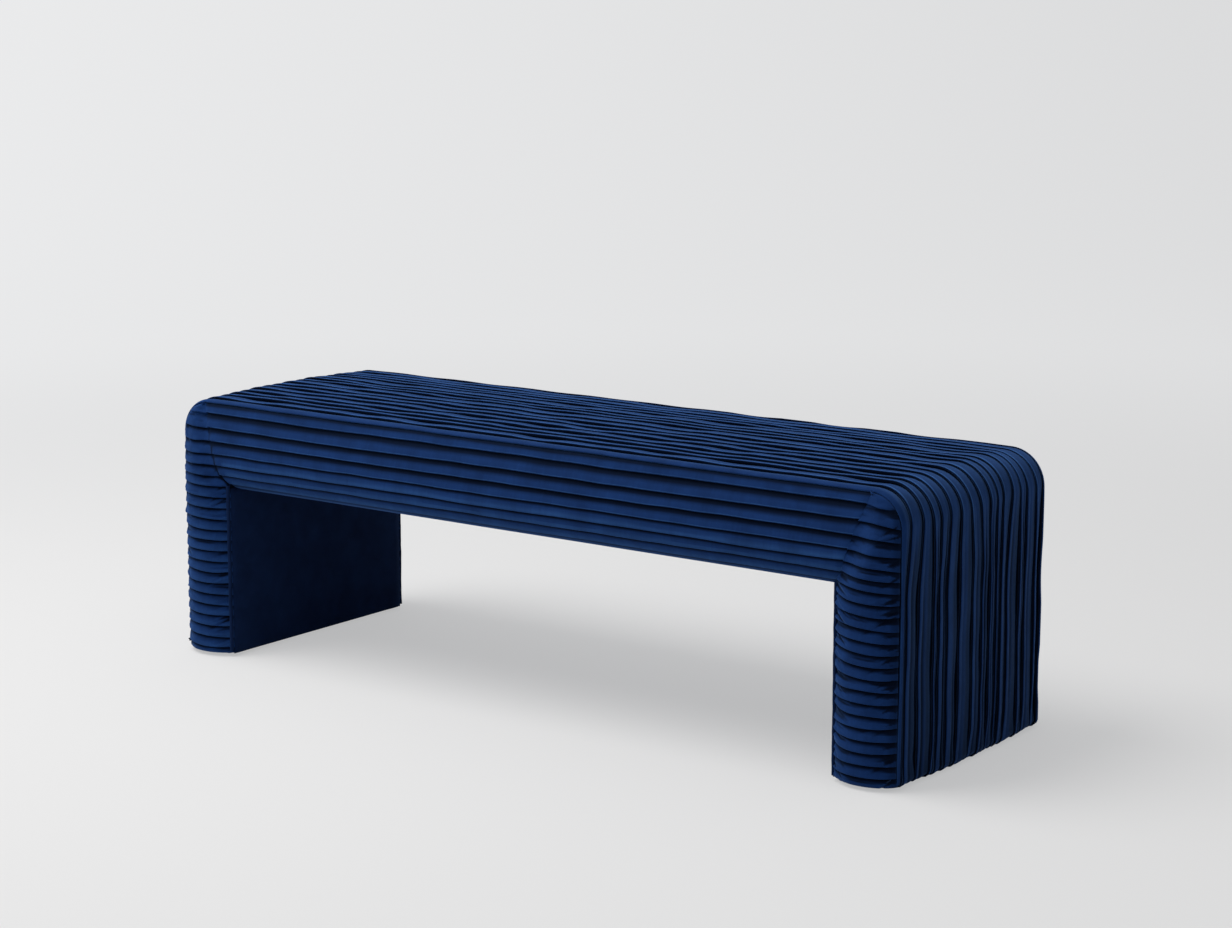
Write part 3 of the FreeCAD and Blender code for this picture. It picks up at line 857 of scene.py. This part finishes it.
def make_camera():
    level = math.cos(CAMERA_ELEVATION)
    aside, ahead = math.sin(CAMERA_AZIMUTH), math.cos(CAMERA_AZIMUTH)
    back = Vector((aside * level, -ahead * level, math.sin(CAMERA_ELEVATION)))
    right = Vector((ahead, aside, 0))
    up = back.cross(right)
    data = bpy.data.cameras.new("camera")
    data.lens, data.sensor_width = CAMERA_LENS, 36
    camera = bpy.data.objects.new("camera", data)
    bpy.context.scene.collection.objects.link(camera)
    turned = Matrix((right, up, back)).transposed().to_4x4()
    spot = back * CAMERA_BACK + right * CAMERA_RIGHT + up * CAMERA_UP
    camera.matrix_world = Matrix.Translation(spot) @ turned
    bpy.context.scene.camera = camera


def make_lamp(name, spot, aim, size, energy, colour):
    data = bpy.data.lights.new(name, "AREA")
    data.shape, data.size, data.energy, data.color = "DISK", size, energy, colour
    lamp = bpy.data.objects.new(name, data)
    bpy.context.scene.collection.objects.link(lamp)
    lamp.location = spot
    lamp.rotation_euler = (Vector(aim) - Vector(spot)).to_track_quat("-Z", "Y").to_euler()


def pale_floor():
    """A pale floor that evens out to a glow away from the bench, as a lit backdrop does; the glow is painted light,
    brighter on the left than the right, and shows only to camera, glossy and transmission rays.
    """
    nodes = Nodes("pale floor")
    nodes.shader.inputs["Base Color"].default_value = (0.74, 0.735, 0.73, 1)
    nodes.shader.inputs["Roughness"].default_value = 0.9
    nodes.shader.inputs["Specular IOR Level"].default_value = 0.1
    place = nodes.add("ShaderNodeNewGeometry").outputs["Position"]
    # The glow's strength runs from 0.84 on the left to 0.73 on the right: painted light falling from the left.
    glow = nodes.add("ShaderNodeEmission", Color=(0.995, 1, 1.01, 1))
    aside = nodes.add("ShaderNodeVectorMath", operation="DOT_PRODUCT")
    aside.inputs[1].default_value = (math.cos(CAMERA_AZIMUTH), math.sin(CAMERA_AZIMUTH), 0)
    level = nodes.add("ShaderNodeMapRange")
    for socket, value in (("From Min", -2.6), ("From Max", 2.6), ("To Min", 0.84), ("To Max", 0.73)):
        level.inputs[socket].default_value = value
    nodes.join(place, aside.inputs[0])
    nodes.join(aside.outputs["Value"], level.inputs["Value"])
    nodes.join(level.outputs["Result"], glow.inputs["Strength"])
    distance = nodes.add("ShaderNodeVectorMath", operation="LENGTH")
    nodes.join(place, distance.inputs[0])
    # How much of the floor is glow: over half next to the bench, which paints light into its shadow, and nearly all
    # of it far off.
    fade = nodes.add("ShaderNodeMapRange", interpolation_type="SMOOTHSTEP")
    for socket, value in (("From Min", 0.9), ("From Max", 4.5), ("To Min", 0.57), ("To Max", 0.97)):
        fade.inputs[socket].default_value = value
    nodes.join(distance.outputs["Value"], fade.inputs["Value"])
    seen = nodes.add("ShaderNodeMath", operation="MULTIPLY")
    nodes.join(fade.outputs["Result"], seen.inputs[0])
    ray = nodes.add("ShaderNodeLightPath")
    direct = ray.outputs["Is Camera Ray"]
    for kind in ("Is Glossy Ray", "Is Transmission Ray"):
        either = nodes.add("ShaderNodeMath", operation="MAXIMUM")
        nodes.join(direct, either.inputs[0])
        nodes.join(ray.outputs[kind], either.inputs[1])
        direct = either.outputs["Value"]
    nodes.join(direct, seen.inputs[1])
    mix = nodes.add("ShaderNodeMixShader")
    nodes.join(seen.outputs["Value"], mix.inputs["Fac"])
    nodes.join(nodes.shader.outputs["BSDF"], mix.inputs[1])
    nodes.join(glow.outputs["Emission"], mix.inputs[2])
    nodes.join(mix.outputs["Shader"], nodes.tree.nodes["Material Output"].inputs["Surface"])
    return nodes.material


def make_floor():
    """A pale floor that sweeps up into a backdrop on the far side."""
    reach, rise, radius = 9.0, 7.0, 3.0
    outline = [(-3 * reach, 0)]
    for step in range(25):
        angle = step / 24 * math.pi / 2
        outline.append((reach - radius + radius * math.sin(angle), radius * (1 - math.cos(angle))))
    outline.append((reach, rise))
    across = np.linspace(-3 * reach, 3 * reach, 3)
    points = np.array([[(x, y, z) for x in across] for y, z in outline])
    turned = Matrix.Rotation(CAMERA_AZIMUTH, 3, "Z")
    points = points @ np.array(turned).T
    floor = grid_object("floor", points[::-1], np.ones(points.shape[:2]))
    floor.data.materials.append(pale_floor())


def light_room(tree):
    """A pale room that is brightest up on the left and in front."""
    toward = tree.nodes.new("ShaderNodeVectorMath")
    toward.operation = "DOT_PRODUCT"
    toward.inputs[1].default_value = Vector((-0.5, -0.3, 0.8)).normalized()
    level = tree.nodes.new("ShaderNodeMapRange")
    for socket, value in (("From Min", -0.5), ("From Max", 1.0), ("To Min", 0.07), ("To Max", 0.67)):
        level.inputs[socket].default_value = value
    tree.links.new(tree.nodes.new("ShaderNodeTexCoord").outputs["Generated"], toward.inputs[0])
    tree.links.new(toward.outputs["Value"], level.inputs["Value"])
    background = tree.nodes["Background"]
    background.inputs["Color"].default_value = (0.97, 0.98, 1, 1)
    tree.links.new(level.outputs["Result"], background.inputs["Strength"])


def make_studio():
    make_camera()
    make_floor()
    make_lamp("key", (-1.5, -1.2, 3.6), (0, 0, 0.2), 3.0, 130, (1, 0.99, 0.97))
    world = bpy.data.worlds.new("world")
    bpy.context.scene.world = world
    world.use_nodes = True
    light_room(world.node_tree)
    bpy.context.scene.view_settings.view_transform = "Standard"


build_bench(make_materials())
make_studio()
